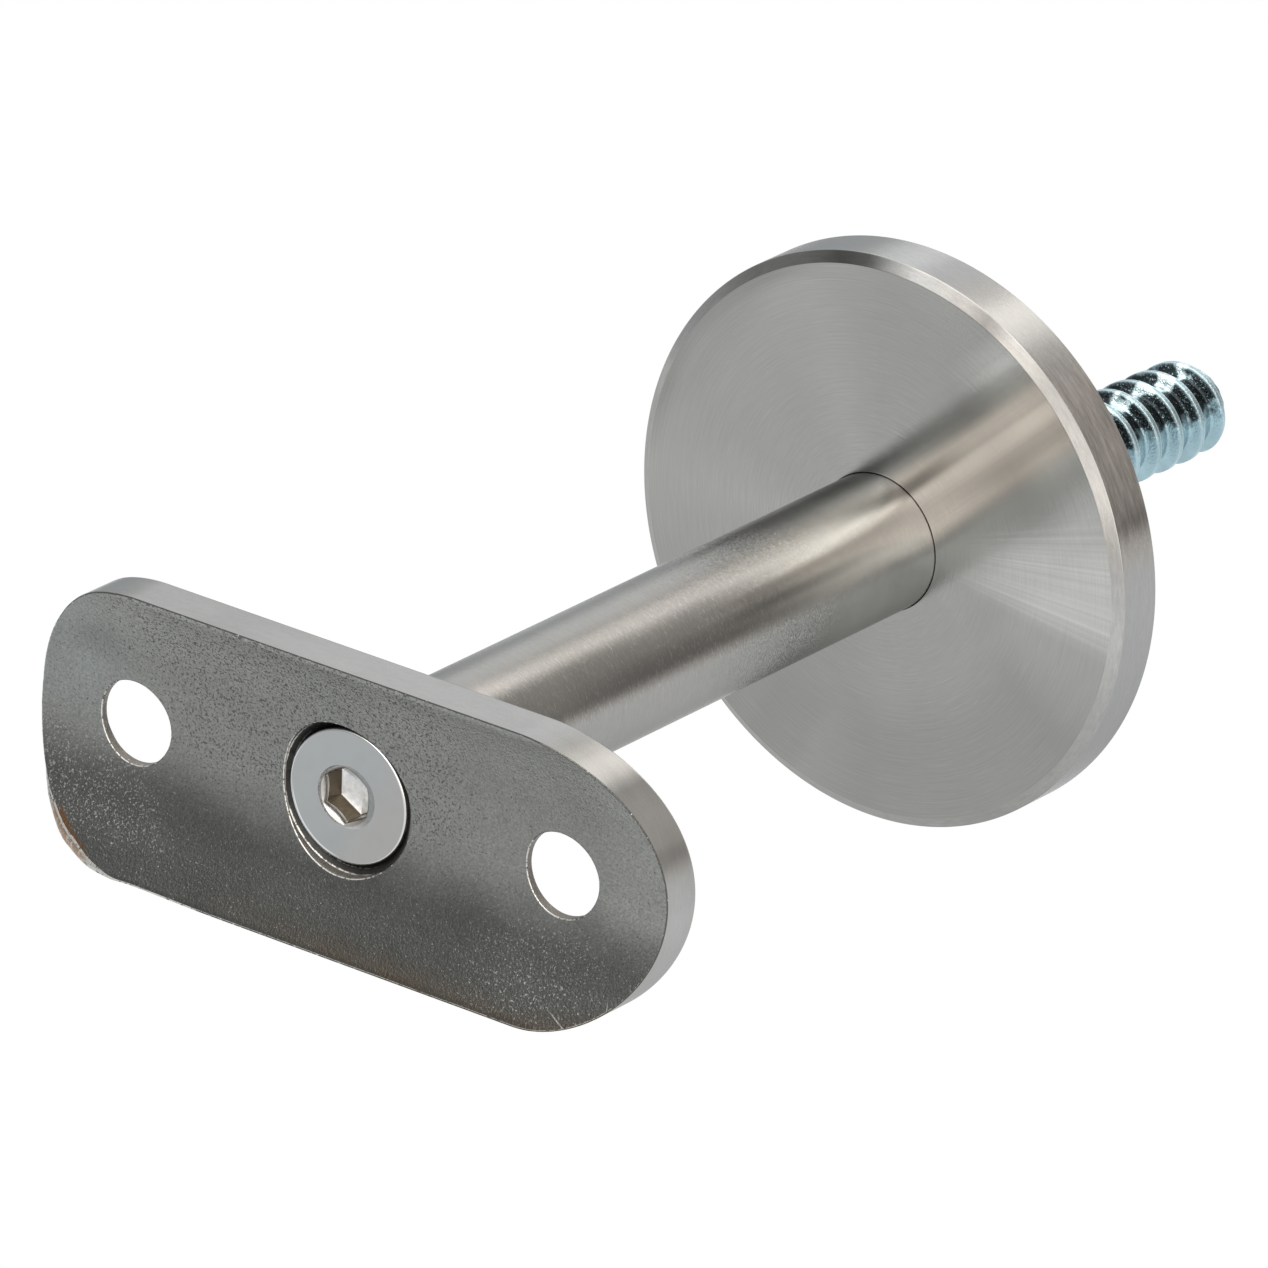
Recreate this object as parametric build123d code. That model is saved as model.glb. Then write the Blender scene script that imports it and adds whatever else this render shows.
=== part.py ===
from build123d import *
import math
import os

# Handrail bracket, in millimetres. The origin is the centre of the flange's wall face.
# +X runs along the rail, +Y into the wall, +Z up, so the bracket stands out towards -Y.

# The rail that the saddle carries, and how far its hollow stands out from the wall
rail_diameter = 48.3
saddle_reach = 74.2

# Saddle plate: an oblong with round ends, bent to the rail
plate_length = 64.4
plate_width = 25.2
plate_thickness = 3.7
plate_edge_round = 0.25

# Rail screws go in from the back of the plate, one at each end
rail_hole_spacing = 43.6
rail_hole_diameter = 7.2
rail_hole_land = 0.6
rail_countersink_angle = 90.0

# Countersunk screw that pulls the plate onto the bar
screw_size = 6.0
screw_head_diameter = 11.5
screw_head_rim = 0.65
screw_head_recess = 0.05
screw_head_angle = 90.0
screw_length = 16.0
screw_tip_chamfer = 0.75
screw_hole_clearance = 0.3
head_clearance = 0.05
head_edge_round = 0.12
socket_across_flats = 4.1
socket_depth = 2.2
socket_mouth_diameter = 5.1
socket_mouth_angle = 90.0

# Round bar between the plate and the flange, tapped at both ends
bar_diameter = 12.0
bar_edge_break = 0.25
scribe_clearance = 0.05
front_tapping_depth = 20.0
rear_tapping_depth = 21.0
drill_point_angle = 118.0

# Wall flange, turned from round bar, with a shallow seat for the bar
flange_diameter = 50.0
flange_thickness = 5.0
flange_bevel_width = 0.95
flange_bevel_depth = 0.6
flange_back_break = 0.2
seat_depth = 1.5
seat_clearance = 0.08
bolt_hole_diameter = 9.0

# Hanger bolt: machine thread in the bar, wood thread into the wall
bolt_size = 8.0
bolt_engagement = 17.0
bolt_reach = 39.5
bolt_neck_diameter = 7.4
neck_length = 3.0
bolt_tip_flat = 5.2
bolt_tip_length = 2.6
bolt_end_chamfer = 0.8

# Coarse wood thread. Its offset is how far past the neck the crest crosses the top of the bolt.
wood_thread_diameter = 8.6
wood_core_diameter = 6.7
wood_thread_pitch = 3.1
wood_thread_crest = 0.42
wood_thread_root = 1.66
wood_thread_offset = 0.31
wood_thread_run_in = 1.6
ridge_sink = 0.2
crest_trim = 0.05

# Play between each thread and its tapping, on the radius
thread_clearance = 0.05

# What follows is worked out from the sizes above
rail_radius = rail_diameter / 2
bar_radius = bar_diameter / 2
flange_radius = flange_diameter / 2
rail_axis_y = -(saddle_reach + rail_radius)
hollow_y = -saddle_reach
plate_back_y = hollow_y + plate_thickness
flange_front_y = -flange_thickness
seat_floor_y = flange_front_y + seat_depth
head_face_y = hollow_y + screw_head_recess
head_cone_y = head_face_y + screw_head_rim


def turned(points):
    """A solid of revolution about the bracket's axis, from (radius, y) corners."""
    profile = make_face(Polyline(*points, close=True))
    return revolve(profile, Axis.Y)


def along_y(radius, start_y, end_y, x=0.0):
    """A round bar along Y, used for shanks and for straight bores."""
    plane = Plane(origin=(x, start_y, 0), z_dir=(0, 1, 0))
    return extrude(plane * Circle(radius), end_y - start_y)


def cone_run(radius_change, angle):
    """How far along its axis a cone of this included angle takes to change radius."""
    return radius_change / math.tan(math.radians(angle / 2))


def countersink(mouth_radius, mouth_y, bore_radius, angle, inward, x=0.0):
    """A cone that narrows from its mouth to a bore, with the cutter's body outside it.
    inward is +1 where the cutter goes towards the wall and -1 where it comes from there."""
    bore_y = mouth_y + inward * cone_run(mouth_radius - bore_radius, angle)
    outside_y = mouth_y - inward * plate_width
    profile = make_face(Polyline(
        (0, outside_y), (mouth_radius, outside_y), (mouth_radius, mouth_y),
        (bore_radius, bore_y), (0, bore_y), close=True))
    return Pos(x, 0, 0) * revolve(profile, Axis.Y)


def saddle_blank():
    """The oblong plate before drilling: a bent strip, trimmed square to the wall."""
    section = Plane(origin=(0, rail_axis_y, 0), z_dir=(1, 0, 0))
    strip_rings = Circle(rail_radius + plate_thickness) - Circle(rail_radius)
    strip = extrude(section * strip_rings, plate_length / 2, both=True)
    outline = Plane(origin=(0, rail_axis_y, 0), x_dir=(1, 0, 0), z_dir=(0, 1, 0))
    trim = extrude(outline * SlotOverall(plate_length, plate_width), saddle_reach)
    blank = strip & trim
    # The hollow and the back are the faces bent about the rail. Their rims lose their sharpness.
    round_faces = blank.faces().filter_by(GeomType.CYLINDER)
    bent_faces = [face for face in round_faces if face.axis_of_rotation.is_parallel(Axis.X)]
    rims = [edge for face in bent_faces for edge in face.outer_wire().edges()]
    return fillet(rims, plate_edge_round)


def saddle_plate():
    """Bent oblong plate with its screw seat and the two rail-screw holes."""
    plate = saddle_blank()
    head_radius = screw_head_diameter / 2 + head_clearance
    seat_mouth = head_radius + (head_cone_y - hollow_y) * math.tan(math.radians(screw_head_angle / 2))
    screw_bore = screw_size / 2 + screw_hole_clearance
    plate -= countersink(seat_mouth, hollow_y, screw_bore, screw_head_angle, 1)
    plate -= along_y(screw_bore, hollow_y, plate_back_y + plate_thickness)
    rail_bore = rail_hole_diameter / 2
    cone_y = hollow_y + rail_hole_land
    spread = (plate_thickness - rail_hole_land) * math.tan(math.radians(rail_countersink_angle / 2))
    for side in (-1, 1):
        x = side * rail_hole_spacing / 2
        plate -= along_y(rail_bore, rail_axis_y, plate_back_y, x)
        plate -= countersink(rail_bore + spread, plate_back_y, rail_bore, rail_countersink_angle, -1, x)
    return plate


def saddle_screw():
    """Countersunk screw with a flat head, a narrow rim and a hex socket."""
    head_radius = screw_head_diameter / 2
    shank_radius = screw_size / 2 - thread_clearance
    shank_top_y = head_cone_y + cone_run(head_radius - shank_radius, screw_head_angle)
    tip_y = head_face_y + screw_length
    screw = turned([
        (0, head_face_y), (head_radius, head_face_y), (head_radius, head_cone_y),
        (shank_radius, shank_top_y), (shank_radius, tip_y - screw_tip_chamfer),
        (shank_radius - screw_tip_chamfer, tip_y), (0, tip_y)])
    face_edge = screw.edges().filter_by(GeomType.CIRCLE).group_by(Axis.Y)[0]
    screw = fillet(face_edge, head_edge_round)
    face = Plane(origin=(0, head_face_y, 0), x_dir=(0, 0, 1), z_dir=(0, 1, 0))
    socket = RegularPolygon(socket_across_flats / 2, 6, major_radius=False)
    screw -= extrude(face * socket, socket_depth)
    mouth_radius = socket_mouth_diameter / 2
    screw -= turned([
        (0, head_face_y), (mouth_radius, head_face_y),
        (0, head_face_y + cone_run(mouth_radius, socket_mouth_angle))])
    return screw


def tapping(radius, mouth_y, depth, inward):
    """A blind tapped hole at its nominal size, with the drill's point at its end.
    It starts outside the bar, because the scribed end curves past its middle."""
    outside_y = mouth_y - inward * bar_radius
    end_y = mouth_y + inward * depth
    point_y = end_y + inward * cone_run(radius, drill_point_angle)
    return turned([(0, outside_y), (radius, outside_y), (radius, end_y), (0, point_y)])


def support_bar():
    """Round bar: its front end is scribed to the plate's back, its rear end is square."""
    bar = along_y(bar_radius, rail_axis_y, seat_floor_y)
    rear_edge = bar.edges().filter_by(GeomType.CIRCLE).group_by(Axis.Y)[-1]
    bar = chamfer(rear_edge, bar_edge_break)
    section = Plane(origin=(0, rail_axis_y, 0), z_dir=(1, 0, 0))
    scribe_radius = rail_radius + plate_thickness + scribe_clearance
    bar -= extrude(section * Circle(scribe_radius), bar_diameter, both=True)
    bar -= tapping(screw_size / 2, plate_back_y, front_tapping_depth, 1)
    bar -= tapping(bolt_size / 2, seat_floor_y, rear_tapping_depth, -1)
    return bar


def wall_flange():
    """Turned disc with a bevelled front edge, the bar's seat and the bolt's hole."""
    seat_radius = bar_radius + seat_clearance
    bolt_hole_radius = bolt_hole_diameter / 2
    bevel_inner = flange_radius - flange_bevel_width
    return turned([
        (bolt_hole_radius, 0),
        (flange_radius - flange_back_break, 0),
        (flange_radius, -flange_back_break),
        (flange_radius, flange_front_y + flange_bevel_depth),
        (bevel_inner, flange_front_y),
        (seat_radius, flange_front_y),
        (seat_radius, seat_floor_y),
        (bolt_hole_radius, seat_floor_y)])


def ridge_section(path):
    """The wood thread's ridge, square to its helix: a narrow crest and a wider root.
    It reaches a little way into the core, so that the two overlap all along."""
    height = (wood_thread_diameter - wood_core_diameter) / 2
    flank = (wood_thread_root - wood_thread_crest) / 2 / height
    foot = wood_thread_root / 2 + flank * ridge_sink
    crest = wood_thread_crest / 2
    start = path @ 0
    plane = Plane(origin=start, x_dir=(start.X, 0, start.Z), z_dir=path % 0)
    return plane * make_face(Polyline(
        (-ridge_sink, -foot), (height, -crest), (height, crest), (-ridge_sink, foot), close=True))


def thread_envelope():
    """What the thread is trimmed to: it grows out of the neck and ends in a blunt round tip.
    Between them it stands clear of the crest, which keeps the ridge's own height."""
    core_radius = wood_core_diameter / 2
    outer_radius = wood_thread_diameter / 2 + crest_trim
    tip_radius = bolt_tip_flat / 2
    shoulder_y = bolt_reach - bolt_tip_length
    side = Polyline(
        (0, neck_length), (core_radius, neck_length),
        (outer_radius, neck_length + wood_thread_run_in), (outer_radius, shoulder_y))
    nose = TangentArc((outer_radius, shoulder_y), (tip_radius, bolt_reach), tangent=(0, 1))
    end = Polyline((tip_radius, bolt_reach), (0, bolt_reach), (0, neck_length))
    return revolve(make_face(side + nose + end), Axis.Y)


def wood_thread():
    """Right-hand ridge round a core. Both start before the neck's end and run past the tip."""
    start_y = neck_length + wood_thread_offset - wood_thread_pitch
    run = bolt_reach - start_y + wood_thread_pitch
    core_radius = wood_core_diameter / 2
    path = Helix(wood_thread_pitch, run, core_radius, center=(0, start_y, 0), direction=(0, 1, 0))
    ridge = sweep(ridge_section(path), path=path, is_frenet=True)
    core = along_y(core_radius, start_y - wood_thread_pitch, start_y + run + wood_thread_pitch)
    return (core + ridge) & thread_envelope()


def hanger_bolt():
    """Double-ended bolt: plain machine end at its outer size, neck and coarse wood thread."""
    machine_radius = bolt_size / 2 - thread_clearance
    neck_radius = bolt_neck_diameter / 2
    front_y = seat_floor_y - bolt_engagement
    shank = turned([
        (0, front_y), (machine_radius - bolt_end_chamfer, front_y),
        (machine_radius, front_y + bolt_end_chamfer), (machine_radius, seat_floor_y),
        (neck_radius, seat_floor_y), (neck_radius, neck_length), (0, neck_length)])
    return shank + wood_thread()


nodes = {
    "saddle_plate": (saddle_plate, Color(0.55, 0.56, 0.55)),
    "saddle_screw": (saddle_screw, Color(0.66, 0.69, 0.70)),
    "support_bar": (support_bar, Color(0.62, 0.61, 0.58)),
    "wall_flange": (wall_flange, Color(0.60, 0.61, 0.60)),
    "hanger_bolt": (hanger_bolt, Color(0.60, 0.74, 0.80)),
}

os.makedirs("parts", exist_ok=True)
for name, (make, colour) in nodes.items():
    solid = make()
    solid.label = name
    solid.color = colour
    export_step(solid, f"parts/{name}.step")
    print(name, "solids", len(solid.solids()), "volume mm3", round(solid.volume, 1))
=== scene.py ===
import math
import bmesh
import bpy
import numpy as np
from mathutils import Matrix, Vector


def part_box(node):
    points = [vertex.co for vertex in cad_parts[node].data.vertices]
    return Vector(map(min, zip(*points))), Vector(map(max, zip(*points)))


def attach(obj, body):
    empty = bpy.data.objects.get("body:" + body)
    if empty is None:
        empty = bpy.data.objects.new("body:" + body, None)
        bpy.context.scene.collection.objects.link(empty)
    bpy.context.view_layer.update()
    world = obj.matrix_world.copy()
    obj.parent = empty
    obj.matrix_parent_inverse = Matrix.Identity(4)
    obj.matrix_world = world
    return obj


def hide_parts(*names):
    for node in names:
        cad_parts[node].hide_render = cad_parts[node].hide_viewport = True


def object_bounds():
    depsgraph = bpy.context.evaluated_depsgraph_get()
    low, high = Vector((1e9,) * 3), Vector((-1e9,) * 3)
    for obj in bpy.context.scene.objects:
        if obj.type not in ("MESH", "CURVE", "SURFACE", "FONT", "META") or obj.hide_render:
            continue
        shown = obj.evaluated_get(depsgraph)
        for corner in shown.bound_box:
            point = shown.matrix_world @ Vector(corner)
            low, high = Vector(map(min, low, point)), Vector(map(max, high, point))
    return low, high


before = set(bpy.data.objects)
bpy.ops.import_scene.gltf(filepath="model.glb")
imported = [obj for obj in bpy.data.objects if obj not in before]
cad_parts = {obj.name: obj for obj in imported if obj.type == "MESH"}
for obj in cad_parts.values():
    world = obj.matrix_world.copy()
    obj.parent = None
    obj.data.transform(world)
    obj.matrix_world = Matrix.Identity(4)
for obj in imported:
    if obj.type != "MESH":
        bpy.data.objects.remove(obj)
cadLow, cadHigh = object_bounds()

join = np.concatenate
mm = 0.001  # every size below is in millimetres
weldGap = 0.0002  # points closer than this are one point
sharpAngle = 34  # degrees between two faces from which their edge stays crisp


class Wire:
    # One socket of a shader. Sums, products and powers of wires add their Math nodes.
    def __init__(self, tree, socket=None):
        self.tree, self.socket = tree, socket

    # kind: the node's type after ShaderNode. settings: set first. inputs: a value or a wire for each socket.
    def node(self, kind, settings=None, inputs=None, output=0):
        made = self.tree.nodes.new("ShaderNode" + kind)
        for key, value in (settings or {}).items():
            if key == "stops":
                setStops(made.color_ramp, value)
            else:
                setattr(made, key, value)
        for key, value in (inputs or {}).items():
            if isinstance(value, Wire):
                self.tree.links.new(value.socket, made.inputs[key])
            else:
                made.inputs[key].default_value = value
        return Wire(self.tree, made.outputs[output] if made.outputs else None)

    # another output of the same node
    def other(self, key):
        return Wire(self.tree, self.socket.node.outputs[key])

    # x, y and z of a vector
    def axes(self):
        parts = self.node("SeparateXYZ", None, {0: self})
        return [parts.other(axis) for axis in "XYZ"]

    def math(self, operation, *values):
        return self.node("Math", {"operation": operation}, dict(enumerate(values)))

    def vector(self, operation, *values, output=0):
        return self.node("VectorMath", {"operation": operation}, dict(enumerate(values)), output)

    def __add__(self, other): return self.math("ADD", self, other)
    def __radd__(self, other): return self.math("ADD", other, self)
    def __sub__(self, other): return self.math("SUBTRACT", self, other)
    def __rsub__(self, other): return self.math("SUBTRACT", other, self)
    def __mul__(self, other): return self.math("MULTIPLY", self, other)
    def __rmul__(self, other): return self.math("MULTIPLY", other, self)
    def __truediv__(self, other): return self.math("DIVIDE", self, other)
    def __rtruediv__(self, other): return self.math("DIVIDE", other, self)
    def __pow__(self, other): return self.math("POWER", self, other)


# stops: (place from 0 to 1, (red, green, blue))
def setStops(ramp, stops):
    while len(ramp.elements) < len(stops):
        ramp.elements.new(1)
    for element, (place, colour) in zip(ramp.elements, stops):
        element.position = place
        element.color = (*colour, 1)


# 0 below low, 1 above high, an S curve between. high below low turns it round.
def rise(value, low, high):
    return value.node("MapRange", {"interpolation_type": "SMOOTHSTEP"},
                      {"Value": value, "From Min": low, "From Max": high, "To Min": 0, "To Max": 1})


# 1 between low and high, with soft shoulders as wide as soft
def band(value, low, high, soft):
    return rise(value, low - soft, low + soft) * rise(value, high + soft, high - soft)


# two wires or colours mixed
def blend(factor, first, second):
    first, second = [v if isinstance(v, Wire) else (*v, 1) for v in (first, second)]
    return factor.node("Mix", {"data_type": "RGBA"}, {0: factor, 6: first, 7: second}, 2)


# a number that follows rows of (value, level), on straight lines
def follow(value, rows):
    low, high = rows[0][0], rows[-1][0]
    peak = max(level for _, level in rows)
    stops = [((at - low) / (high - low), (level / peak,) * 3) for at, level in rows]
    place = value.node("MapRange", None, {"Value": value, "From Min": low, "From Max": high})
    return value.node("ValToRGB", {"stops": stops}, {"Fac": place}) * peak


# A sum of amounts, each over a span of two values. A span is (none, all) for a rise,
# or (from, to, softness) for a band.
def patches(first, second, rows):
    def over(value, span):
        return band(value, *span) if len(span) == 3 else rise(value, *span)
    total = 0
    for amount, one, two in rows:
        total = total + amount * over(first, one) * over(second, two)
    return total


# degrees round the Y axis: 0 at +X, 90 at +Z, and up to 360
def around(x, z):
    turn = x.math("ARCTAN2", z, x) * (180 / math.pi)
    return turn.math("WRAP", turn, 360, 0)


# a colour times a number
def scaled(colour, amount):
    return amount.node("VectorMath", {"operation": "SCALE"}, {0: colour, "Scale": amount})


# 3-D noise, stretched by one or three numbers: about 0.25 to 0.75, and 0.5 in the middle
def noise(spot, stretch, detail=2, roughness=0.5, shift=(0, 0, 0)):
    stretch = stretch if isinstance(stretch, tuple) else (stretch,) * 3
    grown = spot.vector("MULTIPLY_ADD", spot, stretch, shift)
    return spot.node("TexNoise", {"noise_dimensions": "3D"},
                     {"Vector": grown, "Scale": 1, "Detail": detail, "Roughness": roughness})


def lineNoise(value, detail=1):
    return value.node("TexNoise", {"noise_dimensions": "1D"},
                      {"W": value, "Scale": 1, "Detail": detail, "Roughness": 0.6})


# distance from an axis along Y
def reachOf(x, z):
    return (x * x + z * z) ** 0.5


# the surface's own direction, leant towards another by an amount
def leaned(direction, amount):
    own = amount.node("NewGeometry", output="Normal")
    lean = scaled(direction, amount)
    return own.vector("NORMALIZE", own.vector("ADD", own, lean))


# small relief. depth is in metres.
def relief(height, strength, depth):
    return height.node("Bump", None, {"Strength": strength, "Distance": depth, "Height": height})


def newMaterial(name):
    material = bpy.data.materials.new(name)
    material.use_nodes = True
    material.node_tree.nodes.clear()
    return material, Wire(material.node_tree)


# A new material, and Object coordinates in millimetres, whole and by axis
def metal(name):
    material, start = newMaterial(name)
    metres = start.node("TexCoord", output="Object")
    spot = metres.vector("MULTIPLY", metres, (1000, 1000, 1000))
    return material, spot, spot.axes()


# Ends a material. tinted darkens it at grazing angles.
def finishMetal(material, viewColour, body, rough, normal=None, metallic=1, tinted=False):
    values = {"Base Color": body, "Roughness": rough, "Metallic": metallic}
    if normal is not None:
        values["Normal"] = normal
    if tinted:
        values["Specular Tint"] = (*steel["specular"], 1)
    shader = body.node("BsdfPrincipled", None, values)
    shader.node("OutputMaterial", None, {"Surface": shader})
    material.diffuse_color = (*viewColour, 1)
    return material


def addObject(name, data):
    made = bpy.data.objects.new(name, data)
    bpy.context.scene.collection.objects.link(made)
    return made


# A sheet is a grid of points and the finish of its columns. Points that touch are joined,
# squares without width go, and one with a doubled corner becomes a triangle.
def makePiece(name, node, materials, sheets):
    points, faces, finishes, start = [], [], [], 0
    for sheet, finish in sheets:
        rows, cols = sheet.shape[:2]
        i, j = np.meshgrid(np.arange(rows - 1), np.arange(cols - 1), indexing="ij")
        corner = start + i * cols + j
        quad = np.stack([corner, corner + 1, corner + cols + 1, corner + cols], -1)
        faces.append(quad.reshape(-1, 4))
        finishes.append(np.broadcast_to(finish, (rows - 1, cols - 1)).reshape(-1))
        points.append(sheet.reshape(-1, 3))
        start += rows * cols
    points, faces, finishes = join(points), join(faces), join(finishes)
    keys = np.round(points / weldGap).astype(np.int64)
    _, first, back = np.unique(keys, axis=0, return_index=True, return_inverse=True)
    points, faces = points[first], back.reshape(-1)[faces]
    doubled = faces == np.roll(faces, -1, axis=1)
    count = doubled.sum(1)
    quads, quadFinish = faces[count == 0], finishes[count == 0]
    turn = (np.argmax(doubled[count == 1], 1)[:, None] + 1 + np.arange(3)) % 4
    triangles = np.take_along_axis(faces[count == 1], turn, 1)
    mesh = bpy.data.meshes.new(name)
    mesh.from_pydata((points * mm).tolist(), [], quads.tolist() + triangles.tolist())
    mesh.polygons.foreach_set("material_index", join([quadFinish, finishes[count == 1]]))
    work = bmesh.new()
    work.from_mesh(mesh)
    bmesh.ops.recalc_face_normals(work, faces=work.faces)
    work.to_mesh(mesh)
    work.free()
    mesh.shade_smooth()
    mesh.set_sharp_from_angle(angle=math.radians(sharpAngle))
    for material in materials:
        mesh.materials.append(material)
    piece = addObject(name, mesh)
    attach(piece, "root")
    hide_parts(node)
    print("made", name, "with", len(mesh.polygons), "faces")


# low and high corner of a CAD node, in millimetres
def boxOf(node):
    return [np.array(corner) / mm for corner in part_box(node)]


# a column of angles all round, in radians
def fullTurn(steps):
    return np.linspace(0, 2 * np.pi, steps + 1)[:, None]


# A profile turned about the Y axis: x = radius cos angle, z = radius sin angle.
# radius and y have one value for each column, or one for each angle and column.
def turnedSheet(radius, y, steps):
    angle = fullTurn(steps)
    radius, y = np.atleast_2d(radius), np.atleast_2d(y)
    return np.stack([radius * np.cos(angle), y + 0 * angle, radius * np.sin(angle)], -1)


# numbers and columns side by side, with a row for each row of rows
def beside(rows, *parts):
    return join([part + 0 * rows for part in parts], 1)


# Corners (radius, y, rounding) made into a profile. A rounded one is an arc that touches both
# sides, with one more point beside each end to keep the flats flat.
def softProfile(corners, closed=False, arcSteps=5, guard=0.06):
    spots = np.array(corners, float)
    out = []
    total = len(spots)
    for k, (radius, y, rounding) in enumerate(spots):
        here = np.array([radius, y])
        inside = 0 < k < total - 1 or closed
        if rounding <= 0 or not inside:
            out.append(here[None])
            continue
        before = spots[k - 1, :2] - here
        after = spots[(k + 1) % total, :2] - here
        before /= np.linalg.norm(before)
        after /= np.linalg.norm(after)
        half = math.acos(np.clip(before @ after, -1, 1)) / 2
        reach = rounding / math.tan(half)
        middle = here + (before + after) / np.linalg.norm(before + after) * rounding / math.sin(half)
        begin, end = here + before * reach - middle, here + after * reach - middle
        sweep = math.acos(np.clip(begin @ end / rounding ** 2, -1, 1))
        t = np.linspace(0, 1, arcSteps + 1)[:, None]
        arc = (np.sin((1 - t) * sweep) * begin + np.sin(t * sweep) * end) / math.sin(sweep) + middle
        out.append(join([[here + before * (reach + guard)], arc, [here + after * (reach + guard)]]))
    path = join(out)
    if closed:
        path = join([path, path[:1]])
    return path[:, 0], path[:, 1]


steel = {
    "face": (0.25, 0.257, 0.247),
    "low": (0.11, 0.114, 0.11),  # painted shade towards the lower edge
    "cool": (0.262, 0.28, 0.278),  # patch at the upper left
    "pit": (0.085, 0.09, 0.09),
    # bright grains: partly real grain, partly painted glints
    "grain": (0.4, 0.4, 0.385),
    "tint": (0.1, 0.078, 0.056),  # heat tint along the lower edge
    "brown": (0.15, 0.08, 0.036),  # beside the ground corner
    "edge": (0.405, 0.41, 0.402),
    "rim": (0.105, 0.107, 0.102),  # thin dark line where the face ends
    "bare": (0.55, 0.55, 0.53),
    "tan": (0.34, 0.245, 0.175),  # ground corner at the lower left
    "wall": (0.16, 0.155, 0.145),
    # near black: painted shade inside the countersink
    "cone": (0.03, 0.03, 0.029),
    "scratch": (0.026, 0.4, 0.035),  # how far off its line, its colour, its half width in mm
    "endX": 19.6,  # middle of the right end, and of the left end with a minus
    "edgeLightAndShade": [  # degrees round the right end, and the painted light and shade of the edge there
        (0, 1.02), (12, 0.97), (18, 1.12), (24, 1.55), (36, 1.5), (42, 1.33), (48, 1.02), (54, 1.4), (60, 1.06),
        (66, 0.8), (72, 0.84), (78, 0.98), (90, 1), (180, 0.97), (270, 0.85), (300, 0.8), (312, 0.74), (318, 1.05),
        (324, 1.18), (330, 1.16), (340, 1.1), (354, 1.1), (360, 1.02)],
    "faceRoughness": 0.4,
    "edgeRoughness": 0.22,
    "specular": (0.6, 0.6, 0.6),  # tint at grazing angles
}


# Blasted steel: soft clouds, peppered with dark pits above and bright specks below that are partly real grain and
# partly painted glints, over painted light along the top and painted shade towards the lower edge
def plateFaceSteel():
    material, spot, (x, y, z) = metal("blasted_plate_steel")
    cloud = noise(spot, (0.1, 0, 0.16), 4, 0.55)
    patch = noise(spot, 0.35, 3, 0.6, (3, 1, 8))
    speckle = noise(spot, 4.2, 2, 0.7)
    pepper = noise(spot, 4.7, 2, 0.6, (5, 9, 2))
    sand = noise(spot, 5.2, 2, 0.6, (2, 7, 4))
    # painted shade: the face grows darker towards its lower edge
    low = rise(z + 4 * (cloud - 0.5), -0.4, -6.6)
    body = blend(low, steel["face"], steel["low"])
    corner = rise(x + 0.5 * z, -16, -25) * rise(z, -4, 4)
    body = blend(corner * (patch * 0.9 + 0.3), body, steel["cool"])
    # painted light along the top and at the right end, painted shade along the lower edge, and a little darker at the
    # middle right and upper left
    litTopAndRightEnd = rise(x, 23, 30) * rise(z, -7, -2) + 1.6 * rise(z, 5, 11) + 0.6 * rise(x, 12, 22) * low
    body = scaled(body, 0.83 + 0.2 * cloud + 0.16 * patch + 0.14 * litTopAndRightEnd - 0.2 * rise(z, -8.5, -11.5)
                  - 0.07 * rise(x, 8, 16) * rise(z, -2, 2) - 0.06 * rise(x, -20, -24) * rise(z, 2, 6))
    body = scaled(body, 1 + 0.95 * (speckle - 0.5))
    pitted = rise(z + 4 * (patch - 0.5), -5, 1) * rise(x + 0.4 * z, -24, -13) * rise(x, 16, 9)
    gloomy = band(x, 17, 27, 3) * band(z, -9, -6, 2)
    bias = pitted + 0.7 * gloomy
    body = blend(rise(pepper - 0.1 * bias, 0.38, 0.28) * 0.85, body, steel["pit"])
    # bright specks, most at the lower left and lower right: partly real grain, partly painted glints
    left = rise(x + 0.5 * z, -19, -24) * rise(z, 0.5, -2.5) * rise(z, -11.5, -8.5)
    right = band(x - 0.3 * z, 17, 29, 4) * rise(z, -3, -5.5)
    sparkle = left + 0.75 * right
    grainGlints = rise(sand + 0.09 * sparkle + 0.03 * low, 0.67, 0.79)
    body = blend(grainGlints * 0.9, body, steel["grain"])
    stain = rise(z + 2.4 * (patch - 0.5) + 0.03 * x, -9.8, -12.4) * rise(x, -16, 8) * 0.62
    scorch = rise(z - 0.22 * x, -14.9, -18) * (0.4 + 0.6 * patch)
    body = blend(stain.math("MAXIMUM", stain, scorch), body, steel["tint"])
    fromEnd = x + steel["endX"]
    glow = rise(reachOf(fromEnd, z), 11.9, 12.4) * band(around(fromEnd, z), 226, 246, 4)
    body = blend(glow * (0.4 + 0.9 * patch), body, steel["brown"])
    away, shine, half = steel["scratch"]
    across = x * 0.426 + z * 0.905
    scratch = band(across, away + 0.04 - half, away + 0.04 + half, 0.05) * band(x, 22.9, 24.7, 0.3)
    nick = band(x * 0.97 + z * 0.24, 24.9, 25, 0.05) * band(z, -9.7, -8.6, 0.3)
    body = blend(scratch.math("MAXIMUM", scratch, nick * 0.8), body, (shine, shine, shine * 0.97))
    smudge = band(x, -27, -23, 2) * band(z, 5.5, 8.5, 2)
    body = scaled(body, 1 - 0.16 * smudge)
    rough = steel["faceRoughness"] + 0.1 * (cloud - 0.5)
    bump = relief(speckle + patch + 0.5 * sand, 0.6, 0.00009)
    return finishMetal(material, steel["face"], body, rough, bump, tinted=True)


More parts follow.
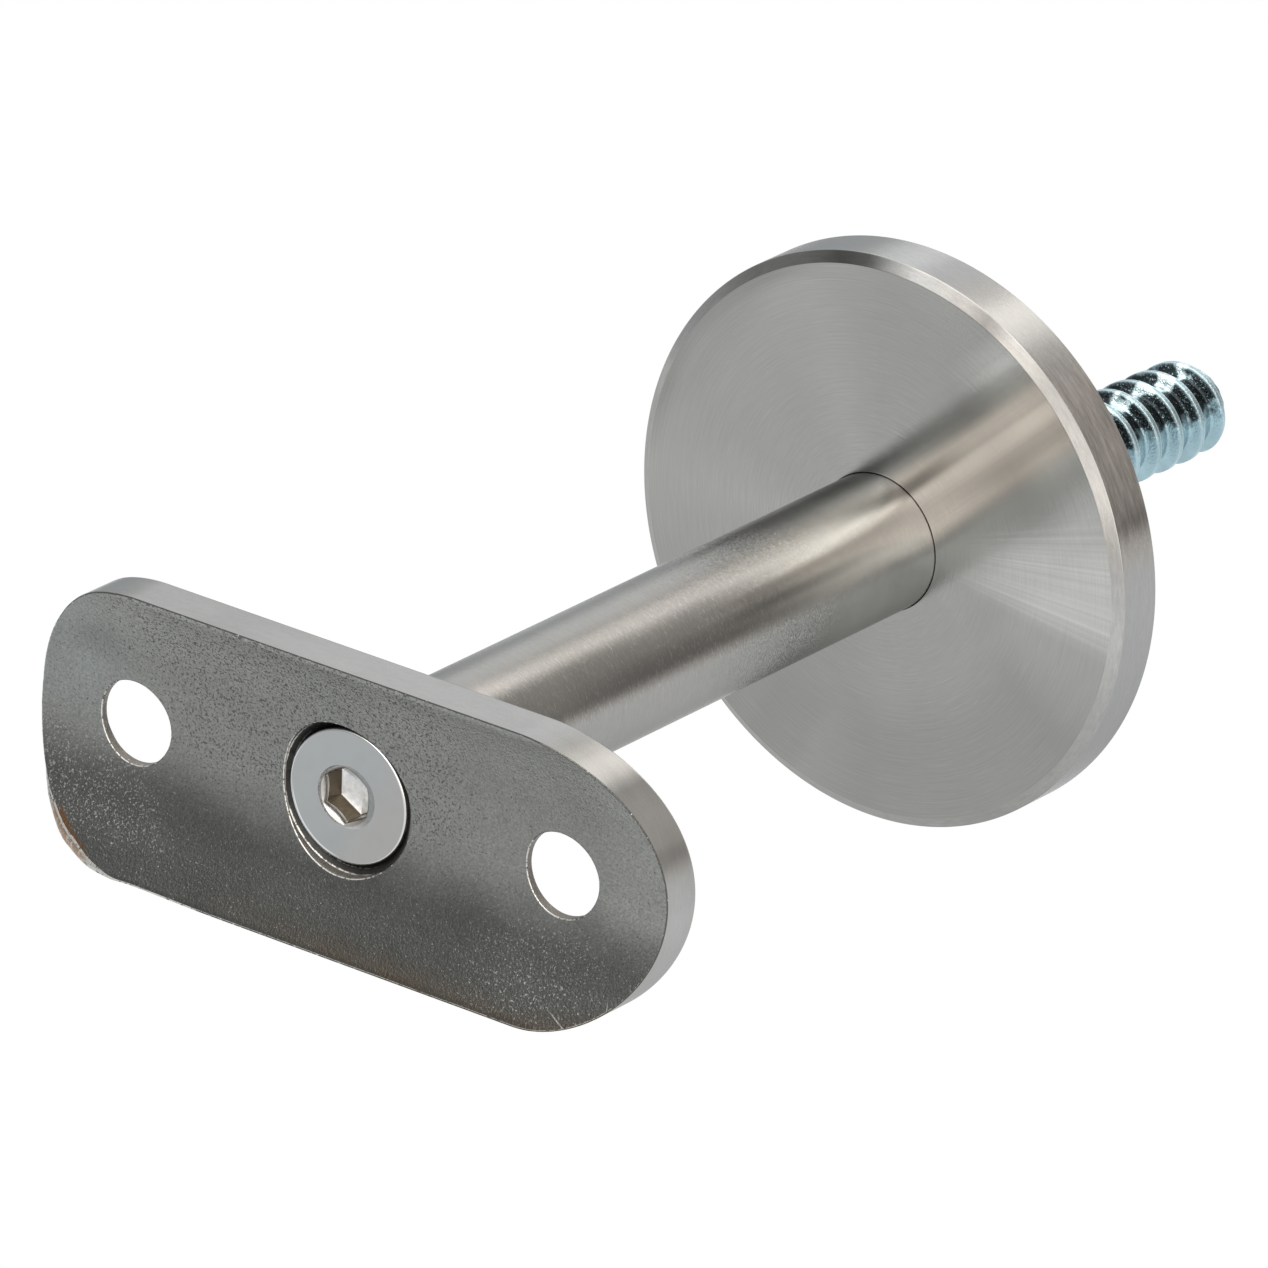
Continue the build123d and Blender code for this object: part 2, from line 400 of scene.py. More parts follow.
# Lines run round the Y axis. Coarse ones show as tone, fine ones lean the surface along Y.
def brushedSteel(name, body, roughness, lean, streak, lineScale):
    material, spot, (x, y, z) = metal(name)
    hair = noise(spot, (0.9, lineScale, 0.9), 3, 0.7)
    lines = noise(spot, (1.5, 11, 1.5), 2, 0.7, (1, 2, 6)) * rise(y, -30, -42)
    micro = noise(spot, (4, 60, 4), 1, 0.5, (7, 3, 5))
    slow = noise(spot, (0.12, 0.5, 0.12), 2)
    body = scaled(body(spot, x, y, z), 1 + streak * (hair - 0.5) + 0.1 * (slow - 0.5))
    rough = roughness + 0.08 * (slow - 0.5)
    tilt = (hair - 0.5) * 0.03 + (lines - 0.5 * rise(y, -30, -42)) * (0.17 * lean) + (micro - 0.5) * (0.55 * lean)
    return finishMetal(material, steel["edge"], body, rough, leaned((0, 1, 0), tilt), tinted=True)


# the edge's colour with painted highlight and shade by angle round the right end, a little darker towards the left
def plateEdgeTone(spot, x, y, z):
    cloud = noise(spot, (0.2, 0.5, 0.2), 3)
    beyond = x - steel["endX"]
    beyond = beyond.math("MAXIMUM", beyond, 0)
    turned = follow(around(beyond, z), steel["edgeLightAndShade"])
    reach = reachOf(beyond, z)
    back = rise(x, -19, -15) * rise(reach, 12.35, 12.1)  # the back face has one tone
    turned = turned + (1 - turned) * back
    return scaled(steel["edge"], turned * (0.92 + 0.16 * cloud - 0.07 * rise(x, 2, -12)))


# The narrow rounding round the face: dark, worn bright in places, tan where the corner was ground
def plateRimSteel():
    material, spot, (x, y, z) = metal("worn_plate_rim")
    chips = noise(spot, 2.6, 2, 0.7)
    grit = noise(spot, 7, 1, 0.6, (4, 4, 4))
    streaks = noise(spot, (1.2, 9, 1.2), 2, 0.7)
    worn = rise(x + 0.8 * z, -21, -26) + 0.5 * rise(z, -10.8, -12) - 0.35
    bare = rise(chips + 0.2 * worn, 0.6, 0.68)
    body = blend(bare, steel["rim"], steel["bare"])
    fromEnd = x + steel["endX"]
    turned = around(fromEnd, z)
    ground = band(turned, 223, 248, 3)
    shallow = rise(streaks + 0.35 * (grit - 0.5), 0.62, 0.5)
    body = blend(ground, body, steel["bare"])
    within = rise(reachOf(fromEnd, z), 12.6, 12.74)
    body = blend(ground * (0.25 + 0.75 * shallow) * within, body, steel["tan"])
    chipped = band(turned, 203, 219, 3) + band(turned, 252, 262, 3)
    body = blend(chipped * rise(chips, 0.38, 0.52), body, steel["bare"])
    burnt = rise(z - 0.25 * x, -12, -15)
    body = blend(burnt * 0.8, body, steel["tint"])
    rough = 0.32 + 0.2 * (grit - 0.5)
    return finishMetal(material, steel["rim"], body, rough, relief(grit + streaks, 0.5, 0.0001))


# Walls of the holes: dull grey with rings and grit
def holeSteel():
    material, spot, _ = metal("drilled_hole_walls")
    rings = noise(spot, (1.2, 8, 1.2), 2, 0.7)
    grit = noise(spot, 4.5, 2, 0.7)
    body = scaled(steel["wall"], 0.55 + 0.9 * rings)
    body = blend(rise(grit + 0.25 * (rings - 0.5), 0.6, 0.72) * 0.6, body, steel["bare"])
    return finishMetal(material, steel["wall"], body, 0.45, relief(rings + grit, 0.4, 0.00008), 0.55)


# The middle countersink: near black as painted shade, with painted highlight rings near its mouth at the lower left
def coneSteel():
    material, spot, (x, y, z) = metal("dark_countersink")
    radius = reachOf(x, z)
    rough = noise(spot, 2.5, 2, 0.7)
    side = rise(x + 0.6 * z, 1, -4.5)
    foot = rise(radius + 0.1 * (rough - 0.5), 6.39, 6.46) * (0.3 + 0.6 * rise(rough, 0.4, 0.55))
    inner = band(radius + 0.06 * (rough - 0.5), 6.02, 6.07, 0.03) * rise(rough, 0.4, 0.52)
    body = scaled(steel["cone"], 0.5 + rough)
    body = blend(foot.math("MAXIMUM", foot, inner * 0.45) * side, body, steel["bare"])
    return finishMetal(material, steel["cone"], body, 0.4, metallic=0.85)


# Lips of the holes: a thin broken bright line of painted highlight, duller at the upper right
def lipSteel():
    material, spot, (x, y, z) = metal("worn_hole_lips")
    chips = noise(spot, 3.2, 2, 0.7)
    near = x.math("WRAP", x, plate["holeSpacing"] / 4, -plate["holeSpacing"] / 4)
    side = rise(near + z, 2, -5)
    body = blend(rise(chips + 0.2 * (side - 0.5), 0.44, 0.58), steel["rim"], steel["bare"])
    return finishMetal(material, steel["rim"], body, 0.36, metallic=0.8)


plate = {
    "railRadius": 24.15,  # hollow, for a 48.3 mm rail
    "thickness": 3.7,
    "rearRound": 0.25,
    "faceRound": 0.1,  # rounding where the face ends
    "groundRound": 0.34,  # the same on the ground corner
    "groundWide": 2.2,  # there it reaches in this much further than it is deep
    "ground": [  # degrees round the left end, and how much of that corner there is
        (0, 0), (209, 0), (216, 0.45), (223, 0.8), (233, 0.95), (238, 1), (247, 0.8), (254, 0.55), (261, 0.2),
        (265, 0), (360, 0)],
    "leftEnd": [  # ground left end: degrees round it, and how far it stands out
        (90, 0), (112, -0.15), (128, -0.42), (140, -0.55), (176, -0.55), (190, -0.37), (200, -0.18), (205, -0.08),
        (210, 0.04), (215, 0.36), (220, 0.7), (226, 0.94), (232, 1.14), (236, 1.18), (240, 1.04), (248, 0.8),
        (256, 0.39), (262, 0.13), (266, -0.06), (270, -0.12)],
    "holeSpacing": 43.6,
    "holeRadius": 3.6,
    "holeLand": 0.6,  # straight part of each rail-screw hole
    "screwMouth": 6.5,  # countersink for the head
    "screwBore": 3.3,
    "lip": 0.09,  # dulled rim of each hole on the hollow side
    "pointsPerMm": 2.2,  # how finely the outline is divided
    "across": 26,  # steps from a hole to the outline
}


plateSteel = [plateFaceSteel(),
              brushedSteel("brushed_plate_edge", plateEdgeTone, steel["edgeRoughness"], 0.45, 0.2, 5),
              plateRimSteel(), holeSteel(), lipSteel(), coneSteel()]
print("plate finishes ready")


def saddlePlate():
    low, high = boxOf("saddle_plate")
    halfLength, halfWidth = high[0], high[2]
    backY = high[1]
    innerRadius = plate["railRadius"]
    outerRadius = innerRadius + plate["thickness"]
    axisY = backY - outerRadius
    hollowY = axisY + innerRadius
    endX = halfLength - halfWidth
    seamX = plate["holeSpacing"] / 4
    holeX = plate["holeSpacing"] / 2
    lip = plate["lip"]
    density = plate["pointsPerMm"]

    # bent about the rail: y = axis + square root of radius squared less z squared
    def frontY(z):
        return np.maximum(axisY + np.sqrt(innerRadius ** 2 - z ** 2), low[1])

    def rearY(z):
        return axisY + np.sqrt(outerRadius ** 2 - z ** 2)

    # what a table says at each point's angle round the left end
    def byTurn(plan, rows):
        return np.interp(np.degrees(np.arctan2(plan[:, 1], plan[:, 0] + endX)) % 360, *np.array(rows).T)

    # the left end isn't a true half circle: each point of it moves in or out
    def leftShape(plan):
        amount = byTurn(plan, plate["leftEnd"])
        straightPart = plan[:, 0] > -endX
        fade = np.clip((-plan[:, 0] - seamX) / (endX - seamX), 0, 1) * (plan[:, 1] < 0)
        amount = np.where(straightPart, plate["leftEnd"][-1][1] * fade * fade * (3 - 2 * fade), amount)
        moved = plan + outward(plan) * amount[:, None]
        moved[:, 1] = np.clip(moved[:, 1], -halfWidth, halfWidth)
        return np.where((plan[:, 0] < -seamX)[:, None], moved, plan)

    # the face's rounding is an ellipse: its depth, and how much further it reaches in
    def faceRound(plan):
        ground = byTurn(plan, plate["ground"]) * (plan[:, 0] < -endX)
        depth = plate["faceRound"] + (plate["groundRound"] - plate["faceRound"]) * ground
        return depth, 1 + (plate["groundWide"] - 1) * ground

    def straight(x0, x1, z):
        count = max(2, round(abs(x1 - x0) * density))
        x = np.linspace(x0, x1, count + 1)
        return np.stack([x, np.full_like(x, z)], -1)

    def bow(a0, a1, centreX):
        count = round(abs(a1 - a0) * halfWidth * density)
        a = np.linspace(a0, a1, count + 1)
        return np.stack([centreX + halfWidth * np.cos(a), halfWidth * np.sin(a)], -1)

    # the outline in eight runs, anticlockwise seen from the rail's side
    quarter = np.pi / 2
    runs = [straight(seamX, endX, -halfWidth), bow(-quarter, quarter, endX), straight(endX, seamX, halfWidth),
            straight(seamX, -seamX, halfWidth), straight(-seamX, -endX, halfWidth),
            bow(quarter, 3 * quarter, -endX), straight(-endX, -seamX, -halfWidth),
            straight(-seamX, seamX, -halfWidth)]

    def outward(plan):
        beyond = np.clip(np.abs(plan[:, 0]) - endX, 0, None) * np.sign(plan[:, 0])
        way = np.stack([beyond, plan[:, 1]], -1)
        return way / np.linalg.norm(way, axis=1, keepdims=True)

    # a seam between two holes keeps its x
    seamCount = round(2 * halfWidth * density)
    seamZ = np.linspace(-halfWidth, halfWidth, seamCount + 1)[1:-1]

    def seam(x, z):
        return np.stack([np.full_like(z, x), z], -1)

    # each hole's centre and kind, and the runs and seams round it
    blocks = [(holeX, "rail", [runs[0], runs[1], runs[2], seam(seamX, seamZ[::-1])]),
              (0.0, "screw", [runs[3], seam(-seamX, seamZ[::-1]), runs[7], seam(seamX, seamZ)]),
              (-holeX, "rail", [runs[4], runs[5], runs[6], seam(-seamX, seamZ)])]

    # how far a rounded edge reaches in, and where its arc lies
    def edgeArc(plan, way, steps, rear):
        edge, wide = (np.full(len(plan), plate["rearRound"]), 1.0) if rear else faceRound(plan)
        radius = outerRadius if rear else innerRadius
        root = np.sqrt(radius ** 2 - plan[:, 1] ** 2)
        slope = -plan[:, 1] / root * way[:, 1] * wide
        length = np.sqrt(1 + slope ** 2)
        faceY = axisY + root
        side = -1 if rear else 1
        middleY = faceY - slope * edge + side * edge * length
        last = np.arctan2(-side, side * slope)
        t = np.linspace(0, 1, steps + 1)
        turn = last[:, None] * t  # from the wall to the face
        out = (edge * wide)[:, None] * (np.cos(turn) - 1)
        high = middleY[:, None] + edge[:, None] * np.sin(turn)
        return out, high

    def ringOf(centre, parts, rear):
        plans, rims, afterSeam = [], [], True
        for part in parts:
            isSeam = np.ptp(part[:, 0]) == 0
            if isSeam:
                out, _ = edgeArc(np.array([[0.0, halfWidth]]), np.array([[0.0, 1.0]]), 4, rear)
                rims.append(part * [1, (halfWidth + out[0, -1]) / halfWidth])
            else:
                part = part if afterSeam else part[1:]
                way = outward(part)
                part = leftShape(part)
                out, _ = edgeArc(part, way, 4, rear)
                rims.append(part + way * out[:, -1:])
            plans.append(part)
            afterSeam = isSeam
        raw, rim = join(plans + [plans[0][:1]]), join(rims + [rims[0][:1]])
        return rim, np.unwrap(np.arctan2(raw[:, 1], raw[:, 0] - centre))

    t = np.linspace(0, 1, plate["across"])
    t = join([[0, 0.006], t[1:-1], [0.994, 1]])[None, :, None]

    # a bent face between a hole and the outline
    def bentFace(centre, radius, angle, rim, height):
        hole = np.stack([centre + radius * np.cos(angle), radius * np.sin(angle)], -1)
        plan = hole[:, None] * (1 - t) + rim[:, None] * t
        return np.stack([plan[..., 0], height(plan[..., 1]), plan[..., 1]], -1)

    sheets = []
    arcSteps = 6
    guard = 0.05  # a narrow row beside an edge keeps the faces next to it flat
    for centre, kind, parts in blocks:
        rim, angle = ringOf(centre, parts, False)
        cosine, sine = np.cos(angle)[:, None], np.sin(angle)[:, None]
        mouth = plate["holeRadius"] if kind == "rail" else plate["screwMouth"]
        sheets.append((bentFace(centre, mouth + lip, angle, rim, frontY), 0))

        # the hole's wall, from the lip inwards
        lipTurn = np.linspace(0, np.pi / 2, 5)[None]
        startY = frontY((mouth + lip) * sine)
        radius = mouth + lip - lip * np.sin(lipTurn) + 0 * sine
        wallY = startY + lip - lip * np.cos(lipTurn)
        if kind == "rail":
            landY = hollowY + plate["holeLand"]
            rearRadius = np.full_like(sine, mouth + 3.0)
            for _ in range(30):  # closes in on where the cone meets the bent back
                rearRadius = mouth + rearY(rearRadius * sine) - landY
            radius = beside(sine, radius, mouth, rearRadius - guard, rearRadius)
            endY = rearY(rearRadius * sine)
            wallY = beside(sine, wallY, landY, endY - guard, endY)
        else:
            bore = plate["screwBore"]
            coneY = np.maximum(hollowY, wallY[:, -1:] + 0.02)
            boreY = hollowY + mouth - bore
            radius = beside(sine, radius, mouth - (coneY - hollowY), bore, bore)
            wallY = beside(sine, wallY, coneY, boreY, rearY(bore * sine))
            rearRadius = np.full_like(sine, bore)
        wall = np.stack([centre + radius * cosine, wallY, radius * sine], -1)
        # lip, a narrow line of plain wall, then the cone
        column = np.arange(wall.shape[1] - 1)
        sheets.append((wall, np.where(column < 4, 4, np.where((column == 4) | (kind == "rail"), 3, 5))))

        rim, _ = ringOf(centre, parts, True)
        sheets.append((bentFace(centre, rearRadius[:, 0], angle, rim, rearY), 1))

    # the edge all round: front arc, wall, rear arc
    outline = join([runs[0]] + [run[1:] for run in runs[1:]])
    way = outward(outline)
    outline = leftShape(outline)
    outF, highF = edgeArc(outline, way, arcSteps, False)
    outR, highR = edgeArc(outline, way, arcSteps, True)
    wallT = np.array([0.02, 0.25, 0.5, 0.75, 0.98])[None]
    wallHigh = highF[:, :1] * (1 - wallT) + highR[:, :1] * wallT
    out = join([outF[:, ::-1], 0 * wallHigh, outR], 1)
    high = join([highF[:, ::-1], wallHigh, highR], 1)
    plan = outline[:, None] + way[:, None] * out[..., None]
    high = np.maximum(high, low[1])
    high[:, 0] = frontY(plan[:, 0, 1])
    high[:, -1] = rearY(plan[:, -1, 1])
    column = np.arange(high.shape[1] - 1)
    strip = np.stack([plan[..., 0], high, plan[..., 1]], -1)
    sheets.append((strip, np.where(column == 0, 4, np.where(column < arcSteps, 2, 1))))
    makePiece("dressed_saddle_plate", "saddle_plate", plateSteel, sheets)


saddlePlate()


bar = {
    "scribeRadius": 27.9,  # front end is cut to the plate's back
    "frontBore": 3,
    "frontDepth": 20,
    "rearBore": 4,
    "rearDepth": 21,
    "drillPoint": 118,
    "edgeBreak": 0.25,
    "steps": 288,
    "colour": (0.362, 0.361, 0.35),
    "seatPaintedLight": 0.36,  # painted light towards the flange
    "underPaintedLight": 0.34,  # more painted light on the under side
    "roughness": 0.22,
    "lean": 1.15,  # how far the fine lines lean the surface along the bar
    "streak": 0.34,
    "patches": [  # painted light and shade added, over a span of degrees and a span of y
        (1.5, (107, 132, 6), (-29, -12.5, 4.5)), (0.5, (107, 132, 6), (-57, -38, 8)),
        (-0.3, (13, 34, 8), (-50, -16, 8)),
        (0.36, (47, 58, 5), (-36, -24)), (-0.2, (47, 58, 5), (-40, -50)), (-0.34, (27, 41, 5), (-30, -11.5, 5)),
        (-0.18, (60, 75, 5), (-58, -20, 8)), (-0.22, (8, 15, 3), (-21, -14)), (0.1, (14, 28, 6), (-17, -7)),
        (-0.85, (58, 70, 5), (-17, -7)), (0.45, (76, 88, 5), (-17, -7)), (-0.25, (95, 108, 5), (-17, -7)),
        (-0.12, (45, 56, 5), (-17, -7))],
}


# Painted light near the flange and along the top, painted shade along the side, with short bright hairs
def barTone(spot, x, y, z):
    turn = around(x, z)
    under = rise(z, 2.2, -0.2)
    tone = 1 + bar["seatPaintedLight"] * rise(y, -30, -12) + bar["underPaintedLight"] * rise(y, -32, -14) * under
    tone = tone + 0.2 * band(y, -21, -11, 4) * under + patches(turn, y, bar["patches"])
    flecks = rise(noise(spot, (1.8, 14, 1.8), 2, 0.7), 0.57, 0.68) * band(turn, 5, 66, 12)
    return scaled(bar["colour"], tone + 0.4 * flecks * rise(y, -18, -32))


def supportBar():
    _, high = boxOf("support_bar")
    radius, rearY = high[0], high[1]
    plateBack = boxOf("saddle_plate")[1][1]
    axisY = plateBack - plate["railRadius"] - plate["thickness"]
    angle = fullTurn(bar["steps"])

    def scribed(r):
        return axisY + np.sqrt(bar["scribeRadius"] ** 2 - (r * np.sin(angle)) ** 2)

    point = 1 / math.tan(math.radians(bar["drillPoint"] / 2))
    bore, wide = bar["frontBore"], bar["rearBore"]
    frontEnd = plateBack + bar["frontDepth"]
    rearEnd = rearY - bar["rearDepth"]
    faceR = np.linspace(bore, radius - 0.02, 12)[None]
    faceY = scribed(faceR)
    skinStart = scribed(radius) + 0.03
    skinT = join([[0.0, 0.002], np.linspace(0.01, 0.995, 40), [1.0]])[None]
    skinY = skinStart * (1 - skinT) + (rearY - bar["edgeBreak"]) * skinT
    radii = beside(angle, 0, bore, faceR, radius + 0 * skinY, radius - bar["edgeBreak"], wide, wide, 0)
    ys = beside(angle, frontEnd + bore * point, frontEnd, faceY, skinY, rearY, rearY, rearEnd,
                rearEnd - wide * point)
    finish = brushedSteel("brushed_bar_steel", barTone, bar["roughness"], bar["lean"], bar["streak"], 10.0)
    makePiece("dressed_support_bar", "support_bar", [finish],
              [(turnedSheet(radii, ys, bar["steps"]), 0)])


supportBar()


screw = {
    "rim": 0.65,  # straight part of the head's side
    "rimRound": 0.22,
    "coneAngle": 90,
    "shank": 2.95,
    "tipChamfer": 0.75,
    "acrossFlats": 4.1,
    "socketDepth": 2.2,
    "mouth": 5.2,  # diameter of the bevel round the socket
    "offCentre": -0.34,  # the socket sits to one side
    "lean": 0.045,  # how far its left edge stands proud, as a share of its radius
    "steps": 288,
    "colour": (0.358, 0.374, 0.378),
    "warm": (0.378, 0.376, 0.372),
    "funnel": 0.36,  # how deep the rounded entry is at the corners of the socket
    # the dark brown walls are painted shade, and the near white floor is painted reflection
    "socketWall": (0.14, 0.112, 0.078),
    "socketFloor": (0.86, 0.9, 0.93),
    # painted highlight on the left of the socket's mouth
    "mouthHighlight": (0.46, 0.45, 0.43),
    "roughness": 0.11,
}


def polishedSteel():
    material, spot, (x, y, z) = metal("polished_screw_steel")
    haze = noise(spot, 0.5, 3, 0.6)
    fine = noise(spot, 9, 2, 0.6)
    pale = rise(z - x + 2 * haze, -4, 7)
    radius = reachOf(x, z)
    # the head's rounded rim is lighter all round, and brighter still at the lower left: painted highlight
    glint = band(radius + 0.05 * (haze - 0.5), 5.4, 5.5, 0.04) * band(x - 0.5 * z, -5.2, 1.4, 1) * rise(z, 0.5, -2)
    warm = rise(x - 0.6 * z, 0.5, 4.5)
    body = blend(warm, screw["colour"], screw["warm"])
    body = scaled(body, 0.93 + 0.12 * haze + 0.06 * pale + 0.8 * rise(radius, 5.5, 5.62) + 1.1 * glint)
    rough = screw["roughness"] + 0.08 * (haze - 0.5)
    return finishMetal(material, screw["colour"], body, rough, relief(fine, 0.1, 0.00005))


# Mouth of the socket: soft, with painted highlight at the lower left, plain at the right
def mouthSteel():
    material, spot, (x, y, z) = metal("soft_socket_mouth")
    scuff = noise(spot, 3, 2, 0.7)
    body = blend(rise(x + 0.5 * z, 0.4, 1.6), screw["mouthHighlight"], screw["colour"])
    body = scaled(body, 0.56 + 0.36 * scuff + 0.4 * rise(x + z, 0.2, -2.2))
    return finishMetal(material, screw["colour"], body, 0.32, relief(scuff, 0.35, 0.00006))


# Inside of the socket: punched walls with lines along the punch, darkened as painted shade, or its scuffed floor,
# made near white as painted reflection
def socketSteel(name, colour, roughness, lines):
    material, spot, _ = metal(name)
    scuff = noise(spot, lines, 2, 0.7)
    body = scaled(colour, 0.7 + 0.6 * scuff)
    return finishMetal(material, colour, body, roughness + 0.1 * scuff, relief(scuff, 0.35, 0.00008))


def saddleScrew():
    low, high = boxOf("saddle_screw")
    head, faceY, tipY = high[0], low[1], high[1]
    steps, shank, chamfer = screw["steps"], screw["shank"], screw["tipChamfer"]
    angle = fullTurn(steps)
    # hexagon with corners up and down: radius = half across flats over the cosine to the nearest flat
    toFlat = ((angle + np.pi / 6) % (np.pi / 3)) - np.pi / 6
    hexagon = screw["acrossFlats"] / 2 / np.cos(toFlat)
    mouth = screw["mouth"] / 2
    floorY = faceY + screw["socketDepth"]
    shankStart = faceY + screw["rim"] + (head - shank) / math.tan(math.radians(screw["coneAngle"] / 2))
    outer = softProfile([(mouth + 0.06, faceY, 0), (head, faceY, screw["rimRound"]),
                         (head, faceY + screw["rim"], 0.08), (shank, shankStart, 0.2),
                         (shank, tipY - chamfer, 0.05),
                         (shank - chamfer, tipY, 0), (0, tipY, 0)])
    depth = screw["funnel"] + (mouth - hexagon) * 0.7
    inner = [(0, floorY + 0.30, 2), (hexagon * 0.5, floorY + 0.15, 2), (hexagon - 0.06, floorY, 1),
             (hexagon - 0.01, floorY - 0.03, 1), (hexagon, floorY - 0.08, 1)]
    # rounded entry: a quarter of an ellipse from the socket's wall out to the head's face
    for t in np.linspace(0, 1, 9):
        bend = t * np.pi / 2
        inner.append((mouth - (mouth - hexagon) * math.cos(bend), faceY + depth * (1 - math.sin(bend)), 3))
    radii = beside(angle, *[r for r, _, _ in inner], outer[0][None])
    ys = beside(angle, *[y for _, y, _ in inner], outer[1][None])
    finish = np.array([k for _, _, k in inner] + [0] * (len(outer[0]) - 1))
    sheet = turnedSheet(radii, ys, steps)
    # the socket moves aside, and the head leans: y grows with x, less and less towards the shank
    within = np.clip((mouth + 0.1 - radii) / 0.02, 0, 1) * (ys < floorY + 1)
    within = within * (np.arange(radii.shape[1]) < len(inner))
    sheet[..., 0] += screw["offCentre"] * within
    fade = np.clip((faceY + 3.6 - ys) / 2.8, 0, 1)
    sheet[..., 1] += sheet[..., 0] * screw["lean"] * fade
    finishes = [polishedSteel(), socketSteel("punched_socket_walls", screw["socketWall"], 0.3, (5.0, 1.0, 5.0)),
                socketSteel("punched_socket_floor", screw["socketFloor"], 0.45, (2.0, 2.0, 2.0)),
                mouthSteel()]
    makePiece("dressed_saddle_screw", "saddle_screw", finishes, [(sheet, finish)])


saddleScrew()


flange = {
    "bevelIn": 0.95,  # on the radius
    "bevelBack": 0.6,  # along the axis
    "backBreak": 0.2,
    "seatClearance": 0.055,
    "seatDepth": 1.5,
    "boltHole": 4.5,
    "steps": 512,
    "face": (0.322, 0.325, 0.312),
    "warmFace": (0.334, 0.318, 0.298),  # painted reflection of the bar, where it is mirrored
    "rim": (0.385, 0.39, 0.388),
    "bevel": (0.4, 0.4, 0.39),
    "askew": (0.03, 0, -0.04),  # the turned marks face a little off the axis
    "faceRoughness": 0.13,
    "rimRoughness": 0.2,
    "faceTone": [  # degrees round the face and the tone of its sheen there
        (0, 1.05), (22, 0.97), (60, 0.97), (92, 1), (110, 1.09), (128, 1.03), (160, 1.04), (180, 1.12), (200, 1.01),
        (230, 0.88), (255, 0.93), (275, 1), (330, 1), (350, 1.1), (360, 1.05)],
    "mirrorAngle": 42,  # how the bar's mirror image lies on the face
    "stripes": [  # millimetres across that image, upwards, and the tone of each stripe of its painted reflection
        (-12, 0.97), (-10, 0.92), (-8, 0.94), (-7, 0.9), (-6, 0.95), (-5, 1.2), (-4, 1.26), (-3, 1.34), (-2, 1.45),
        (-1, 1.27), (0, 1), (1, 0.81), (2, 0.69), (3, 1.12), (4, 0.92), (5, 1.3), (6, 1.14), (7, 1.02), (9, 1)],
    "farStripes": [  # the same near the disc's rim
        (-12, 1), (-10, 1), (-8, 1.18), (-7, 1.17), (-6, 1.29), (-5, 1.55), (-4, 1.95), (-3, 2.41), (-2, 2.56),
        (-1, 1.86), (0, 1.22), (1, 1.09), (2, 0.92), (3, 1.41), (4, 1.59), (5, 2.45), (6, 2.16), (7, 1.51), (8, 1.34),
        (9, 1.12)],
    "bevelTone": [  # degrees round the bevel, and the painted light and shade of the bevel there
        (0, 1.15), (12, 0.98), (18, 0.94), (24, 0.92), (30, 0.78), (42, 0.53), (48, 0.4), (54, 0.5), (60, 0.62),
        (66, 0.45), (72, 0.88), (78, 1.18), (84, 1.4), (89, 1.02), (95, 0.31), (102, 0.26), (110, 0.56), (126, 0.74),
        (138, 1.08), (152, 1.26), (165, 1.02), (180, 1.1), (220, 1.2), (300, 0.74), (340, 0.92), (354, 1.17),
        (360, 1.17)],
}


# Turned face: very fine rings lean the surface in and out along its radius
def turnedSteel():
    material, spot, (x, y, z) = metal("turned_flange_steel")
    outward = spot.vector("MULTIPLY", spot, (1, 0, 1))
    outward = outward.vector("NORMALIZE", outward)
    radius = reachOf(x, z)
    turn = around(x, z)
    polar = radius.node("CombineXYZ", None, {0: radius, 1: turn, 2: 0})
    rings = lineNoise(radius * 7, 4)
    arcs = noise(polar, (9, 0.07, 1), 3, 0.65)
    scratches = noise(polar, (22, 0.1, 1), 2, 0.6, (3, 9, 0))
    micro = noise(spot, 45, 1, 0.5)
    slow = noise(spot, 0.07, 3)
    # painted light: a sheen by angle, a bright fan at the right with fine glints in it as painted highlight, and
    # outer and shaded as painted shade towards the rim below and at the upper left
    tone = follow(turn, flange["faceTone"])
    fan = (rise(turn, 349, 358) + rise(turn, 26, 9)) * rise(radius, 4, 17)
    shaded = rise(radius, 22.3, 23.9) * band(turn, 108, 172, 8)
    outer = rise(radius, 12, 18) * band(turn, 262, 335, 10)
    smears = 0.6 * band(x - 0.65 * z, -27.5, -24.5, 1.5) * rise(z, 4, 9)
    smears = smears + 0.5 * band(x - 0.55 * z, -1.6, 4.6, 1.2) * rise(z, -13, -17)
    tone = tone + 0.48 * fan - 0.11 * outer - 0.1 * smears - 0.16 * shaded
    grain = 1 + 0.13 * (rings - 0.5) + 0.26 * (arcs - 0.5) + 0.14 * (slow - 0.5) + 0.16 * rise(scratches, 0.62, 0.72)
    # the mirrored bar lies askew to the rings: along it and across it, in millimetres. Its stripes, warm tint and
    # hairs are painted reflection.
    lie = math.radians(flange["mirrorAngle"])
    along = x * math.cos(lie) + z * math.sin(lie)
    across = z * math.cos(lie) - x * math.sin(lie)
    far = rise(along, 15.5, 22.5)
    stripe = follow(across, flange["stripes"]) * (1 - far) + follow(across, flange["farStripes"]) * far
    there = rise(along, 3, 6)
    hairs = lineNoise(across * 3, 3) - 0.5
    inBar = band(across, -2.6, 3.6, 0.8) * there
    tone = tone * (1 + there * (stripe - 1)) * (1 + 0.2 * hairs * inBar)
    tone = tone + 0.6 * (lineNoise(turn * 0.8, 3) - 0.5) * fan
    body = blend(inBar * 0.9, flange["face"], flange["warmFace"])
    body = scaled(body, tone * grain)
    tilt = (rings - 0.5) * 0.05 + (micro - 0.5) * 0.5
    lean = leaned(outward, tilt)
    lean = lean.vector("NORMALIZE", lean.vector("ADD", lean, flange["askew"]))
    return finishMetal(material, flange["face"], body, flange["faceRoughness"] + 0.08 * (slow - 0.5), lean)


